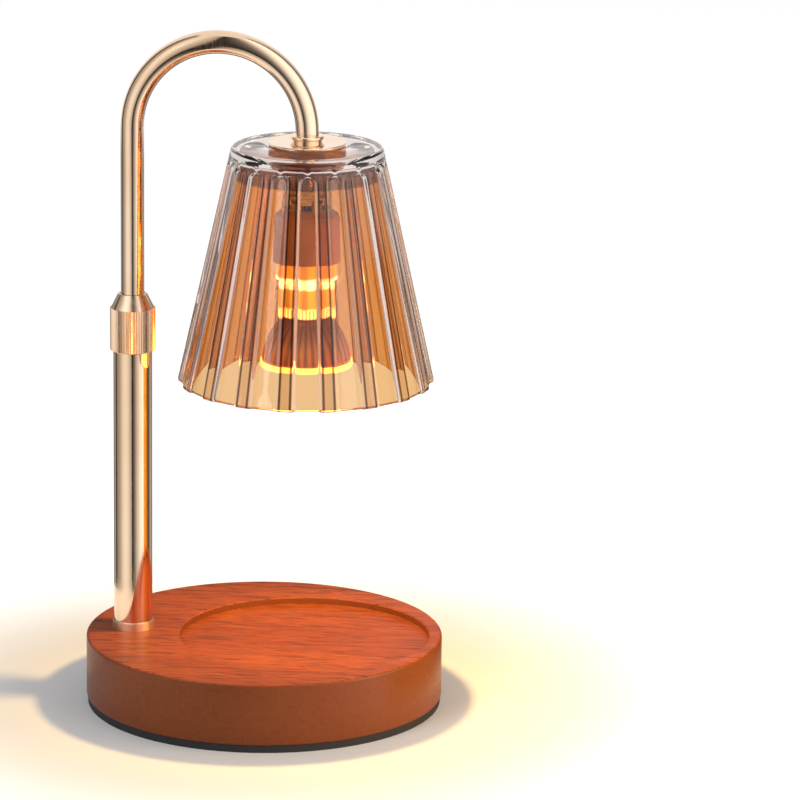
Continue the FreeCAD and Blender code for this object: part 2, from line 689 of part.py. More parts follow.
def holder_bracket():
    bridge = block(SHADE_X - BRACKET_HALF, SHADE_X + BRACKET_HALF, BRACKET_WIDTH / 2, BRIDGE_Z, BRIDGE_TOP_Z)
    parts = []
    for side in (-1, 1):
        outer = SHADE_X + side * BRACKET_HALF
        inner = outer - side * BRACKET_T
        toe = outer - side * BRACKET_FOOT
        parts.append(block(min(outer, inner), max(outer, inner), BRACKET_WIDTH / 2, CUP_TOP_Z, BRIDGE_TOP_Z))
        parts.append(block(min(outer, toe), max(outer, toe), BRACKET_WIDTH / 2, CUP_TOP_Z, CUP_TOP_Z + BRACKET_T))
    solid = bridge.fuse(parts).removeSplitter()
    solid = solid.cut(disc(SHADE_X, BRIDGE_Z - CUT_PAST, BRIDGE_TOP_Z + CUT_PAST, NIPPLE_R + LOOSE))
    for x in screw_places():
        hole = disc(x, CUP_TOP_Z - CUT_PAST, CUP_TOP_Z + BRACKET_T + CUT_PAST, BRACKET_SCREW_R + LOOSE)
        solid = solid.cut(hole)
    return solid


def screw_places():
    return [SHADE_X - BRACKET_SCREW_X, SHADE_X + BRACKET_SCREW_X]


def bracket_nuts():
    lower = hexagon(SHADE_X, BRIDGE_Z - THIN_NUT_H, BRIDGE_Z, LOCK_NUT_FLATS, NIPPLE_R + FIT)
    upper = hexagon(SHADE_X, BRIDGE_TOP_Z, BRIDGE_TOP_Z + THIN_NUT_H, LOCK_NUT_FLATS, NIPPLE_R + FIT)
    return Part.makeCompound([lower, upper])


def bracket_screws():
    top = CUP_TOP_Z + BRACKET_T
    screws = []
    for x in screw_places():
        head = disc(x, top, top + BRACKET_SCREW_HEAD_H, BRACKET_SCREW_HEAD_R)
        shank = disc(x, top - BRACKET_SCREW_LENGTH, top, BRACKET_SCREW_R)
        screws.append(head.fuse(shank))
    return Part.makeCompound(screws)


def holder_cup():
    shell = turned(SHADE_X, [
        (CUP_R - CUP_WALL, CUP_FOOT_Z), (CUP_R, CUP_FOOT_Z), (CUP_R, CUP_SHOULDER_Z),
        (CUP_R - CUP_WALL, (CUP_SHOULDER_Z + CUP_TOP_Z) / 2), (CUP_TOP_R, CUP_TOP_Z), (0, CUP_TOP_Z),
        (0, CUP_TOP_Z - CUP_WALL), (CUP_TOP_R - CUP_WALL, CUP_TOP_Z - CUP_WALL),
        (CUP_R - CUP_WALL, CUP_SHOULDER_Z - CUP_WALL),
    ])
    for x in screw_places():
        shell = shell.cut(disc(x, CUP_SHOULDER_Z, CUP_TOP_Z + CUT_PAST, BRACKET_SCREW_R + FIT))
    return shell.cut(disc(SHADE_X, CUP_SHOULDER_Z, CUP_TOP_Z + CUT_PAST, LEAD_HALF_PITCH + LEAD_R + LOOSE))


def arc_slot(inner, outer, low, high, start_deg, end_deg):
    """Ring-shaped slot about the lamp's axis between two angles."""
    corners = [
        point(SHADE_X + inner, 0, low), point(SHADE_X + outer, 0, low),
        point(SHADE_X + outer, 0, high), point(SHADE_X + inner, 0, high),
    ]
    face = Part.Face(Part.makePolygon(corners + corners[:1]))
    face.rotate(point(SHADE_X, 0, 0), UP, start_deg)
    return face.revolve(point(SHADE_X, 0, 0), UP, end_deg - start_deg)


def holder_ceramic():
    body_r = CUP_R - CUP_WALL - CERAMIC_BODY_PLAY
    body = disc(SHADE_X, CUP_FOOT_Z, CERAMIC_TOP_Z, body_r)
    body = body.fuse(disc(SHADE_X, CERAMIC_FOOT_Z, CUP_FOOT_Z, CERAMIC_SKIRT_R))
    head_r = PIN_HEAD_R + SLOT_PLAY
    neck_r = PIN_NECK_R + SLOT_PLAY
    head_lead = math.degrees(math.asin(head_r / PIN_HALF_PITCH))
    neck_lead = math.degrees(math.asin(neck_r / PIN_HALF_PITCH))
    cutters = []
    for base_deg in (0, 180):
        back = base_deg - TWIST_DEG
        cutters.append(arc_slot(
            PIN_HALF_PITCH - head_r, PIN_HALF_PITCH + head_r, SLOT_FLOOR_Z, SLOT_CEILING_Z,
            back - head_lead, base_deg + head_lead,
        ))
        cutters.append(arc_slot(
            PIN_HALF_PITCH - neck_r, PIN_HALF_PITCH + neck_r, CERAMIC_FOOT_Z - CUT_PAST, SLOT_CEILING_Z,
            back - neck_lead, base_deg + neck_lead,
        ))
        door = Part.makeCylinder(
            head_r, SLOT_CEILING_Z - CERAMIC_FOOT_Z + CUT_PAST,
            point(
                SHADE_X + PIN_HALF_PITCH * math.cos(math.radians(back)),
                PIN_HALF_PITCH * math.sin(math.radians(back)), CERAMIC_FOOT_Z - CUT_PAST,
            ),
        )
        cutters.append(door)
    for side in (-1, 1):
        x = SHADE_X + side * PIN_HALF_PITCH
        half = CONTACT_SIDE / 2 + FIT
        cutters.append(block(x - half, x + half, half, SLOT_FLOOR_Z, CERAMIC_TOP_Z + CUT_PAST))
    return body.cut(cutters)


def holder_contacts():
    strips = []
    for side in (-1, 1):
        x = SHADE_X + side * PIN_HALF_PITCH
        strips.append(block(x - CONTACT_SIDE / 2, x + CONTACT_SIDE / 2, CONTACT_SIDE / 2, CONTACT_FOOT_Z, CONTACT_TOP_Z))
    return Part.makeCompound(strips)


def holder_wire(side):
    """One insulated wire from the nipple down to the contact on the given side."""
    top = point(SHADE_X + side * LEAD_HALF_PITCH, 0, LEAD_TOP_Z)
    knee = point(SHADE_X + side * LEAD_HALF_PITCH, 0, LEAD_KNEE_Z)
    foot = point(SHADE_X + side * PIN_HALF_PITCH, 0, CONTACT_TOP_Z + LEAD_R)
    slope = foot.sub(knee)
    upper = Part.makeCylinder(LEAD_R, LEAD_TOP_Z - LEAD_KNEE_Z, knee)
    lower = Part.makeCylinder(LEAD_R, slope.Length, knee, slope)
    joint = Part.makeSphere(LEAD_R, knee)
    return upper.fuse([joint, lower]).cut(block(
        SHADE_X - CUP_R, SHADE_X + CUP_R, CUP_R, CERAMIC_TOP_Z, CONTACT_TOP_Z
    ))


# Reflector lamp

def flare_radius(t):
    """Bell curve of the reflector from the neck (t 0) to the front (t 1)."""
    return BULB_NECK_R + (BULB_FLARE_R - BULB_NECK_R) * math.sin(t * math.pi / 2) ** 0.8


def flare_points(inset):
    depth = BULB_NECK_Z - BULB_FACE_Z - BULB_RIM_H
    steps = range(BULB_FLARE_STEPS + 1)
    return [
        (flare_radius(k / BULB_FLARE_STEPS) - inset, BULB_NECK_Z - depth * k / BULB_FLARE_STEPS) for k in steps
    ]


def bulb_reflector():
    outer = [(BULB_NECK_R, BULB_CAP_FOOT_Z)] + flare_points(0)
    inner = [(BULB_NECK_R - BULB_WALL, BULB_CAP_FOOT_Z - BULB_WALL)] + flare_points(BULB_WALL)
    roof = [(CAPSULE_R + FIT, BULB_CAP_FOOT_Z - BULB_WALL), (CAPSULE_R + FIT, BULB_CAP_FOOT_Z)]
    return turned(SHADE_X, outer + inner[::-1] + roof)


def bulb_lens():
    top = BULB_FACE_Z + BULB_RIM_H
    seat_r = BULB_FLARE_R - BULB_WALL - LOOSE
    return turned(SHADE_X, [
        (0, BULB_FACE_Z), (BULB_RIM_R - BULB_LENS_T / 2, BULB_FACE_Z), (BULB_RIM_R, BULB_FACE_Z + BULB_LENS_T / 2),
        (BULB_RIM_R, top), (seat_r, top), (seat_r, BULB_FACE_Z + BULB_LENS_T), (0, BULB_FACE_Z + BULB_LENS_T),
    ])


def bulb_cap():
    body = turned(SHADE_X, [
        (0, BULB_CAP_FOOT_Z), (BULB_CAP_R, BULB_CAP_FOOT_Z), (BULB_CAP_R, BULB_CAP_TOP_Z - BULB_CAP_BEVEL),
        (BULB_CAP_R - BULB_CAP_BEVEL, BULB_CAP_TOP_Z), (0, BULB_CAP_TOP_Z),
    ])
    socket = disc(SHADE_X, BULB_CAP_FOOT_Z - CUT_PAST, CAPSULE_TOP_Z + LOOSE, CAPSULE_R + FIT)
    roots = [
        disc(SHADE_X + side * PIN_HALF_PITCH, BULB_CAP_TOP_Z - PIN_ROOT, BULB_CAP_TOP_Z + CUT_PAST, PIN_NECK_R + FIT)
        for side in (-1, 1)
    ]
    return body.cut([socket] + roots)


def bulb_pins():
    pins = []
    for side in (-1, 1):
        x = SHADE_X + side * PIN_HALF_PITCH
        neck = disc(x, BULB_CAP_TOP_Z - PIN_ROOT, PIN_TOP_Z, PIN_NECK_R)
        pins.append(neck.fuse(disc(x, PIN_HEAD_FOOT_Z, PIN_TOP_Z, PIN_HEAD_R)))
    return Part.makeCompound(pins)


def dome_outline(radius, foot, top, rounds):
    """Outline of a closed tube whose lower end is a dome, as (radius, level) pairs."""
    arc = [
        (radius * math.sin(math.pi / 2 * k / rounds), foot + radius * (1 - math.cos(math.pi / 2 * k / rounds)))
        for k in range(rounds + 1)
    ]
    return arc + [(radius, top), (0, top)]


def bulb_capsule():
    skin = turned(SHADE_X, dome_outline(CAPSULE_R, CAPSULE_FOOT_Z, CAPSULE_TOP_Z, BULB_FLARE_STEPS))
    bore_r = CAPSULE_R - CAPSULE_WALL
    hollow_top = BULB_CAP_FOOT_Z - CAPSULE_R
    hollow = turned(
        SHADE_X, dome_outline(bore_r, CAPSULE_FOOT_Z + CAPSULE_WALL, hollow_top, BULB_FLARE_STEPS)
    )
    shell = skin.cut(hollow)
    for side in (-1, 1):
        x = SHADE_X + side * FILAMENT_LENGTH / 2
        shell = shell.cut(disc(x, FILAMENT_Z, CAPSULE_TOP_Z + CUT_PAST, FILAMENT_POST_R + FIT))
    return shell


def bulb_filament():
    half = FILAMENT_LENGTH / 2
    coil = along_x(SHADE_X - half, SHADE_X + half, 0, FILAMENT_Z, FILAMENT_R)
    posts = [disc(SHADE_X + side * half, FILAMENT_Z, CAPSULE_TOP_Z, FILAMENT_POST_R) for side in (-1, 1)]
    return coil.fuse(posts)


NODES = {
    "base_pad": base_pad, "base_block": base_block, "cord_bushing": cord_bushing,
    "cavity_cover": cavity_cover, "cover_screws": cover_screws, "terminal_block": terminal_block,
    "post_collar": post_collar, "post_tube": post_tube, "post_plug": post_plug,
    "post_stud": post_stud, "stud_washer": stud_washer, "stud_nut": stud_nut,
    "post_top_bush": post_top_bush, "collet": collet, "thrust_ring": thrust_ring, "clamp_nut": clamp_nut,
    "guide_bush": guide_bush, "arm_tube": arm_tube, "retaining_clip": retaining_clip,
    "ring_nut": ring_nut, "shade_plate": shade_plate, "upper_gasket": upper_gasket,
    "glass_shade": glass_shade, "lower_gasket": lower_gasket, "lower_washer": lower_washer,
    "lock_nut": lock_nut, "nipple": nipple, "holder_bracket": holder_bracket,
    "bracket_nuts": bracket_nuts, "bracket_screws": bracket_screws, "holder_cup": holder_cup,
    "holder_ceramic": holder_ceramic, "holder_contacts": holder_contacts,
    "holder_wire_red": lambda: holder_wire(-1), "holder_wire_black": lambda: holder_wire(1),
    "bulb_reflector": bulb_reflector, "bulb_lens": bulb_lens, "bulb_cap": bulb_cap,
    "bulb_pins": bulb_pins, "bulb_capsule": bulb_capsule, "bulb_filament": bulb_filament,
}


def main():
    os.makedirs("parts", exist_ok=True)
    for name, make in NODES.items():
        make().exportStep("parts/" + name + ".step")


main()
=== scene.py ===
"""Candle warmer lamp: its glass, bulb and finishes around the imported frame. Lengths are in metres."""
import functools
import math

import bmesh
import bpy
from mathutils import Matrix, Vector


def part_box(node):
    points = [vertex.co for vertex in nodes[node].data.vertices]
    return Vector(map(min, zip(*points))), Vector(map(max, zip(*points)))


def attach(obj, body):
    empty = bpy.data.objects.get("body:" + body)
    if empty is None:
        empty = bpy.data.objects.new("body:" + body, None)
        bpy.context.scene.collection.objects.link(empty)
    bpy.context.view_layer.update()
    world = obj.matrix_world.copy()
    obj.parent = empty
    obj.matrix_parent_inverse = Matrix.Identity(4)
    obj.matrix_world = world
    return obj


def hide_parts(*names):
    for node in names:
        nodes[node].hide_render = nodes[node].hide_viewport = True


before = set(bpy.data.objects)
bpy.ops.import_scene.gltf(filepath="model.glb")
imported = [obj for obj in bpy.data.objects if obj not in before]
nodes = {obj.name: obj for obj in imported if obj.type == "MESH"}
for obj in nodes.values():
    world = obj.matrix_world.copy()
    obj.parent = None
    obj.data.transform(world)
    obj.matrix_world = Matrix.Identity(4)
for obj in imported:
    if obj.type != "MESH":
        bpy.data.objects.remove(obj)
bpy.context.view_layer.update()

# Where the shade and the post stand in the lamp's own frame
SHADE_X = 0.021
POST_X = -0.069

# Glass shade
GLASS_FOOT_Z, GLASS_TOP_Z = (end[2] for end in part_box("glass_shade"))
GLASS_FOOT_R = 0.066
GLASS_TOP_R = 0.0387
GLASS_TAPER = (GLASS_FOOT_R - GLASS_TOP_R) / (GLASS_TOP_Z - GLASS_FOOT_Z)
GLASS_LEAN_DEG = math.degrees(math.atan(GLASS_TAPER))
GLASS_STRETCH = math.hypot(1, GLASS_TAPER)
GLASS_WALL = 0.0043
GLASS_ROOF_Z = GLASS_TOP_Z - 0.006
GLASS_HOLE_R = 0.0055
GLASS_TOP_ROUND = 0.0024
GLASS_INNER_ROUND = 0.003
GLASS_RIM_ROUND = 0.0014

# Flutes pressed into the skin, each with a half-round arch at its top
FLUTES = 18
FLUTE_PITCH = 2 * math.pi / FLUTES
FLUTE_PHASE = math.radians(-2.4)
FLUTE_SPAN = math.radians(13.4)
FLUTE_DEPTH = 0.0016
FLUTE_SHOULDER = 0.0014
ARCH_GAP = 0.0072
ARCH_TOP_Z = GLASS_TOP_Z - ARCH_GAP / GLASS_STRETCH

# Rows and steps of the turned glass
STEPS_PER_FLUTE = 32
PANEL_ROW = 0.005
ARCH_ROW = 0.0005
ARCH_ZONE = 0.0075
CORNER_STEPS = 5
MERGE_GAP = 1e-6
LINING_SHARE = 0.8
ROOF_SLACK = 1e-4

# Reflector bulb: a straight neck over a ribbed flare
BULB_NECK_R = 0.0122
BULB_NECK_TOP_Z = 0.213
BULB_NECK_FOOT_Z = 0.205
BULB_FLARE_R = 0.024
BULB_FLARE_FOOT_Z = 0.1855
BULB_FLARE_CURVE = 0.8
BULB_WALL = 0.0013
BULB_RIBS = 30
BULB_RIB_DEPTH = 0.0005
BULB_RIB_START = 0.006
BULB_RIB_END = 0.002
BULB_STEPS_PER_RIB = 8
BULB_ROWS = 14

# Camera, worked out from the ellipses in the photograph: degrees, metres and pixels
VIEW_AZIMUTH = 7.566
VIEW_ELEVATION = 14.152
VIEW_ROLL = -0.605
VIEW_DISTANCE = 2.809793
VIEW_TARGET = Vector((0, 0, 0.190))
VIEW_TARGET_PIXEL = (265.286, 345.504)
VIEW_FOCAL_PIXELS = 5466.753
VIEW_FAR = 50.0
IMAGE_SIDE = 800
SENSOR_MM = 36.0


# Shader writing

class Wire:
    """A shader socket that can stand in sums and products."""

    def __init__(self, finish, socket):
        self.finish = finish
        self.socket = socket

    def __add__(self, other):
        return self.finish.maths("ADD", self, other)

    def __sub__(self, other):
        return self.finish.maths("SUBTRACT", self, other)

    def __rsub__(self, other):
        return self.finish.maths("SUBTRACT", other, self)

    def __mul__(self, other):
        return self.finish.maths("MULTIPLY", self, other)

    __radd__ = __add__
    __rmul__ = __mul__


class Finish:
    """One material, or the world, and the few calls that write its nodes."""

    def __init__(self, name, world=False):
        self.owner = bpy.data.worlds.new(name) if world else bpy.data.materials.new(name)
        self.last_node = "ShaderNodeOutputWorld" if world else "ShaderNodeOutputMaterial"
        self.owner.use_nodes = True
        self.tree = self.owner.node_tree
        self.tree.nodes.clear()

    def node(self, kind, settings=None, sockets=None, output=0):
        """Adds a node and gives the wire of one output, or of each output in a tuple."""
        made = self.tree.nodes.new(kind)
        for key, value in (settings or {}).items():
            if key == "stops":
                self.set_stops(made.color_ramp, value)
            else:
                setattr(made, key, value)
        for key, value in (sockets or {}).items():
            if isinstance(value, Wire):
                self.tree.links.new(value.socket, made.inputs[key])
            else:
                made.inputs[key].default_value = value
        if isinstance(output, tuple):
            return [Wire(self, made.outputs[key]) for key in output]
        return Wire(self, made.outputs[output])

    def set_stops(self, ramp, stops):
        while len(ramp.elements) < len(stops):
            ramp.elements.new(0.5)
        for element, (position, colour) in zip(ramp.elements, stops):
            element.position = position
            element.color = (*colour, 1)

    def maths(self, operation, a, b=0.0):
        return self.node("ShaderNodeMath", {"operation": operation}, {0: a, 1: b})

    def place(self, scale=(1, 1, 1), shift=(0, 0, 0)):
        """Object coordinates, stretched and moved."""
        local = self.node("ShaderNodeTexCoord", output="Object")
        return self.node("ShaderNodeMapping", None, {"Vector": local, "Scale": scale, "Location": shift})

    def level(self):
        """Height above the lamp's foot."""
        return self.node("ShaderNodeSeparateXYZ", None, {0: self.place()}, output="Z")

    def round_the_shade(self):
        """Angle round the shade's axis, and height."""
        local = self.place(shift=(-SHADE_X, 0, 0))
        x, y, z = self.node("ShaderNodeSeparateXYZ", None, {0: local}, output=("X", "Y", "Z"))
        return self.maths("ARCTAN2", y, x), z

    def noise(self, vector, scale=1.0, detail=3.0, roughness=0.5, distortion=0.0):
        return self.node("ShaderNodeTexNoise", None, {
            "Vector": vector, "Scale": scale, "Detail": detail, "Roughness": roughness,
            "Distortion": distortion,
        })

    def band(self, wire, low, high, out_low=0.0, out_high=1.0):
        """Smooth step of a wire from one range to another."""
        return self.node("ShaderNodeMapRange", {"interpolation_type": "SMOOTHSTEP"}, {
            "Value": wire, "From Min": low, "From Max": high, "To Min": out_low, "To Max": out_high,
        })

    def strip(self, wire, start, end):
        """1 between two soft edges, each given as the values where it starts and ends."""
        return self.band(wire, *start) * (1.0 - self.band(wire, *end))

    def mix(self, factor, first, second):
        def solid(colour):
            return colour if isinstance(colour, Wire) else (*colour, 1)
        sockets = {0: factor, 6: solid(first), 7: solid(second)}
        return self.node("ShaderNodeMix", {"data_type": "RGBA"}, sockets, output=2)

    def bump(self, height, strength, distance):
        return self.node("ShaderNodeBump", None, {
            "Height": height, "Strength": strength, "Distance": distance,
        })

    def rays(self, *kinds):
        """1 for a ray of any of these kinds, and 0 for every other one."""
        found = self.node("ShaderNodeLightPath", output=tuple(f"Is {kind} Ray" for kind in kinds))
        return functools.reduce(functools.partial(self.maths, "MAXIMUM"), found)

    def principled(self, **sockets):
        named = {key.replace("_", " "): value for key, value in sockets.items()}
        for key in ("Base Color", "Emission Color"):
            if key in named and not isinstance(named[key], Wire):
                named[key] = (*named[key], 1)
        return self.node("ShaderNodeBsdfPrincipled", None, named)

    def finish(self, shader):
        out = self.tree.nodes.new(self.last_node)
        self.tree.links.new(shader.socket, out.inputs["Surface"])
        return self.owner


# Finishes

GOLD = ((0.91, 0.68, 0.49), (0.85, 0.60, 0.40))


def polished_gold(name, roughness, wear):
    """Champagne plating: a mirror with faint polishing haze and a slightly uneven tint."""
    f = Finish(name)
    haze = f.noise(f.place(scale=(1, 1, 0.15)), scale=900.0, detail=4.0, roughness=0.6)
    cloud = f.noise(f.place(), scale=22.0, detail=2.0)
    return f.finish(f.principled(
        Base_Color=f.mix(f.band(cloud, 0.35, 0.7), *GOLD), Metallic=1.0,
        Roughness=f.band(haze, 0.3, 0.8, roughness, roughness + wear),
        Normal=f.bump(haze, strength=0.04, distance=0.0002),
    ))


# Stain of the wood, and how often each mark of its grain repeats in a metre along X, Y and Z
TOP_STAIN = ((0.21, 0.040, 0.006), (0.29, 0.058, 0.008))
TOP_STREAK = (0.15, 0.028, 0.009)
TOP_PORE = (0.060, 0.012, 0.005)
TOP_HAIR = (0.050, 0.011, 0.005)
SIDE_STAIN = ((0.175, 0.040, 0.008), (0.120, 0.025, 0.005))
SIDE_CLOUD = (0.205, 0.050, 0.011)
SIDE_STREAK = (0.065, 0.015, 0.005)
BROAD_GRAIN = (4, 46, 46)
FINE_GRAIN = (22, 520, 520)
PORE_GRAIN = (55, 760, 760)
HAIR_GRAIN = (110, 1700, 1700)


def stained_wood():
    """Red-brown stain over fine straight grain that runs along X, with short dark pores."""
    f = Finish("stained_wood")
    normal = f.node("ShaderNodeNewGeometry", output="Normal")
    upright = f.node("ShaderNodeSeparateXYZ", None, {0: normal}, output="Z")
    flat = f.band(f.maths("ABSOLUTE", upright), 0.4, 0.8)
    broad = f.noise(f.place(BROAD_GRAIN), roughness=0.55, distortion=0.15)
    fine = f.noise(f.place(FINE_GRAIN), detail=4.0, roughness=0.65)
    pores = f.noise(f.place(PORE_GRAIN, shift=(3, 7, 1)), detail=1.0, roughness=0.4)
    pores = f.band(pores, 0.56, 0.64)
    hairs = f.noise(f.place(HAIR_GRAIN, shift=(9, 2, 5)), detail=1.0, roughness=0.4)
    hairs = f.band(hairs, 0.55, 0.63)
    speck = f.noise(f.place(scale=(1, 1, 0.6)), scale=900.0, roughness=0.7)
    cloud = f.noise(f.place(), scale=16.0)
    top = f.mix(f.band(broad, 0.3, 0.7), *TOP_STAIN)
    top = f.mix(f.band(fine, 0.35, 0.75) * 0.35, top, TOP_STREAK)
    top = f.mix(pores * 0.55, top, TOP_PORE)
    top = f.mix(hairs * 0.4, top, TOP_HAIR)
    side = f.mix(f.band(speck, 0.35, 0.65) * 0.6, *SIDE_STAIN)
    side = f.mix(f.band(cloud, 0.35, 0.7) * 0.5, side, SIDE_CLOUD)
    side = f.mix(f.band(fine, 0.5, 0.8) * 0.35, side, SIDE_STREAK)
    relief = (1.0 - pores) * flat + fine * 0.3
    return f.finish(f.principled(
        Base_Color=f.mix(flat, side, top), Roughness=f.band(fine, 0.2, 0.8, 0.30, 0.44),
        Normal=f.bump(relief, strength=0.22, distance=0.0003),
        Coat_Weight=0.04, Coat_Roughness=0.25, Specular_IOR_Level=0.22,
    ))


def foam(name, colour):
    """Closed-cell foam: fine cells with paler walls."""
    f = Finish(name)
    cells = f.node("ShaderNodeTexVoronoi", None, {"Vector": f.place(), "Scale": 1400.0})
    pale = tuple(1.9 * part for part in colour)
    return f.finish(f.principled(
        Base_Color=f.mix(f.band(cells, 0.1, 0.6), colour, pale), Roughness=0.85,
        Normal=f.bump(cells, strength=0.5, distance=0.0003),
    ))


def moulded(name, dark, light, roughness, shine=0.5):
    """Moulded plastic, rubber or enamel: fine pebbling and a faint cloud of tone."""
    f = Finish(name)
    pebble = f.noise(f.place(), scale=600.0, roughness=0.6)
    cloud = f.noise(f.place(), scale=60.0, detail=2.0)
    return f.finish(f.principled(
        Base_Color=f.mix(f.band(cloud, 0.3, 0.7), dark, light), Specular_IOR_Level=shine,
        Roughness=f.band(pebble, 0.3, 0.7, roughness, roughness + 0.12),
        Normal=f.bump(pebble, strength=0.08, distance=0.0001),
    ))


def turned_metal(name, dark, light, roughness):
    """Turned steel or brass with fine tool rings round the upright axis."""
    f = Finish(name)
    rings = f.noise(f.place(scale=(1, 1, 60)), scale=60.0, roughness=0.6)
    stain = f.noise(f.place(), scale=140.0, detail=4.0, roughness=0.6)
    return f.finish(f.principled(
        Base_Color=f.mix(f.band(stain, 0.35, 0.75), light, dark), Metallic=1.0,
        Roughness=f.band(rings, 0.3, 0.7, roughness, roughness + 0.15),
        Normal=f.bump(rings, strength=0.12, distance=0.0001),
    ))


# Glass colours, and the levels below the top of the glass between which a finish starts or ends
SKIN_CLEAR = (0.80, 0.71, 0.68)
SKIN_RIDGE = (0.58, 0.40, 0.32)
# Painted shade: the dark lines along both sides of each ridge
SKIN_PAINTED_SHADE_LINE = (0.026, 0.009, 0.007)
# Painted highlight: the pale band on the shoulder of each flute
SKIN_PAINTED_HIGHLIGHT = (0.76, 0.67, 0.68)
LINING_CLEAR = (0.84, 0.33, 0.062)
# Painted shade in the corner below the roof
LINING_CORNER_SHADE = (0.10, 0.035, 0.032)
LINING_ROOF = (0.26, 0.11, 0.075)
GLASS_INDEX = 1.47
ARCH_DEPTHS = (0.011, 0.008)
CORNER_DEPTHS = (0.0160, 0.0145)
ROOF_DEPTHS = (0.0085, 0.0065)

# Edges of the skin's stripes, on a wave that is 1 in the middle of a flute and -1 on the crest of a ridge
RIDGE_END = (-0.62, -0.42)
LINE_START = (-0.88, -0.78)
LINE_END = (-0.64, -0.50)
SHOULDER_START = (-0.56, -0.40)
SHOULDER_END = (-0.20, 0.05)
SHOULDER_SHARE = 0.24


def levels_at(depths):
    """The levels that lie at these depths below the top of the glass."""
    return [GLASS_TOP_Z - depth for depth in depths]


def glass_skin(f, clear, tint, ripple, shine):
    """Glass with a faint pressed ripple. Light that only falls through it isn't bent."""
    wave = f.noise(f.place(scale=(1, 1, 0.35)), scale=70.0, detail=2.0, roughness=0.4)
    body = f.principled(
        Base_Color=tint, Roughness=0.0, IOR=GLASS_INDEX, Transmission_Weight=1.0, Specular_IOR_Level=shine,
        Normal=f.bump(wave, strength=ripple, distance=0.0006),
    )
    # The square root, because such light crosses two skins in each wall
    through = f.node("ShaderNodeBsdfTransparent", None, {"Color": (*(math.sqrt(part) for part in clear), 1)})
    return f.node("ShaderNodeMixShader", None, {0: f.rays("Shadow", "Diffuse"), 1: body, 2: through})


def fluted_skin():
    """Outer skin: clear flutes with a painted highlight on each shoulder, and smoky ridges with a painted
    shade line along both sides.
    """
    f = Finish("clear_glass")
    angle, level = f.round_the_shade()
    wave = f.maths("COSINE", (angle - FLUTE_PHASE) * FLUTES)
    below_arches = 1.0 - f.band(level, *levels_at(ARCH_DEPTHS))
    ridge = (1.0 - f.band(wave, *RIDGE_END)) * below_arches
    # Painted shade lines beside each ridge
    line = f.strip(wave, LINE_START, LINE_END) * below_arches
    # Painted highlight on the shoulder of each flute
    shoulder = f.strip(wave, SHOULDER_START, SHOULDER_END) * below_arches
    tint = f.mix(line, f.mix(ridge, SKIN_CLEAR, SKIN_RIDGE), SKIN_PAINTED_SHADE_LINE)
    bright = f.node("ShaderNodeBsdfDiffuse", None, {"Color": (*SKIN_PAINTED_HIGHLIGHT, 1)})
    glass = glass_skin(f, SKIN_CLEAR, tint, ripple=0.06, shine=0.5)
    return f.finish(f.node("ShaderNodeMixShader", None, {0: shoulder * SHOULDER_SHARE, 1: glass, 2: bright}))


def amber_skin():
    """Inner skin: the amber lining, with painted shade that darkens it in the corner below the roof."""
    f = Finish("amber_lining")
    level = f.level()
    tint = f.mix(f.band(level, *levels_at(CORNER_DEPTHS)), LINING_CLEAR, LINING_CORNER_SHADE)
    tint = f.mix(f.band(level, *levels_at(ROOF_DEPTHS)), tint, LINING_ROOF)
    return f.finish(glass_skin(f, LINING_CLEAR, tint, ripple=0.03, shine=0.12))


def glowing(name, colour, strength, body_colour):
    """A hot or strongly lit surface."""
    f = Finish(name)
    flicker = f.noise(f.place(), scale=500.0, detail=2.0)
    hotter = tuple(min(1.0, 1.15 * part) for part in colour)
    return f.finish(f.principled(
        Base_Color=body_colour, Roughness=0.4,
        Emission_Color=f.mix(f.band(flicker, 0.3, 0.7), colour, hotter), Emission_Strength=strength,
    ))


# Light that the lit bulb shows at each level, and how dark it is between its ribs: (level, colour)
FIRE_STRENGTH = 6.0
FIRE_GAP_SHADE = 0.62
# Above the neck these colours fall on the ceramic cap and the holder, where they are painted light.
FIRE = [
    (0.1850, (0.085, 0.018, 0.001)), (0.1890, (0.110, 0.036, 0.004)), (0.1950, (0.080, 0.036, 0.010)),
    (0.2020, (0.036, 0.013, 0.002)), (0.2080, (0.022, 0.005, 0.000)), (0.2090, (1.0, 0.56, 0.24)),
    (0.2130, (0.8, 0.46, 0.20)), (0.2142, (0.20, 0.110, 0.010)), (0.2230, (0.23, 0.125, 0.012)),
    (0.2242, (1.0, 0.78, 0.55)), (0.2290, (1.0, 0.78, 0.55)), (0.2300, (0.24, 0.098, 0.003)),
    (0.2370, (0.21, 0.085, 0.002)), (0.2385, (0.0, 0.0, 0.0)),
]


def fire(f, ribs):
    """Colour of the lit bulb by height: bronze flare, two hot bands round the neck, amber above. On the
    ceramic cap and the holder this glow is painted light.
    """
    angle, level = f.round_the_shade()
    low, high = FIRE[0][0], FIRE[-1][0]
    stops = [((stop - low) / (high - low), colour) for stop, colour in FIRE]
    height = f.node("ShaderNodeMapRange", None, {"Value": level, "From Min": low, "From Max": high})
    colour = f.node("ShaderNodeValToRGB", {"stops": stops}, {"Fac": height})
    bars = f.maths("COSINE", angle * ribs)
    return f.mix(f.band(bars, -0.6, 0.9) * FIRE_GAP_SHADE, colour, (0.0, 0.0, 0.0))


def lit_bulb(name, body_colour, ribs, roughness, metallic=0.0):
    """Glazed or mirrored bulb, lit from inside. On the glazed cap and the holder's ceramic, the glow and the
    orange tint are painted light.
    """
    f = Finish(name)
    grain = f.noise(f.place(), scale=700.0, detail=2.0)
    deeper = tuple(0.8 * part for part in body_colour)
    return f.finish(f.principled(
        Base_Color=f.mix(grain, body_colour, deeper), Metallic=metallic,
        Roughness=f.band(grain, 0.3, 0.7, roughness, roughness + 0.1),
        Emission_Color=fire(f, ribs), Emission_Strength=FIRE_STRENGTH,
    ))


# Pieces

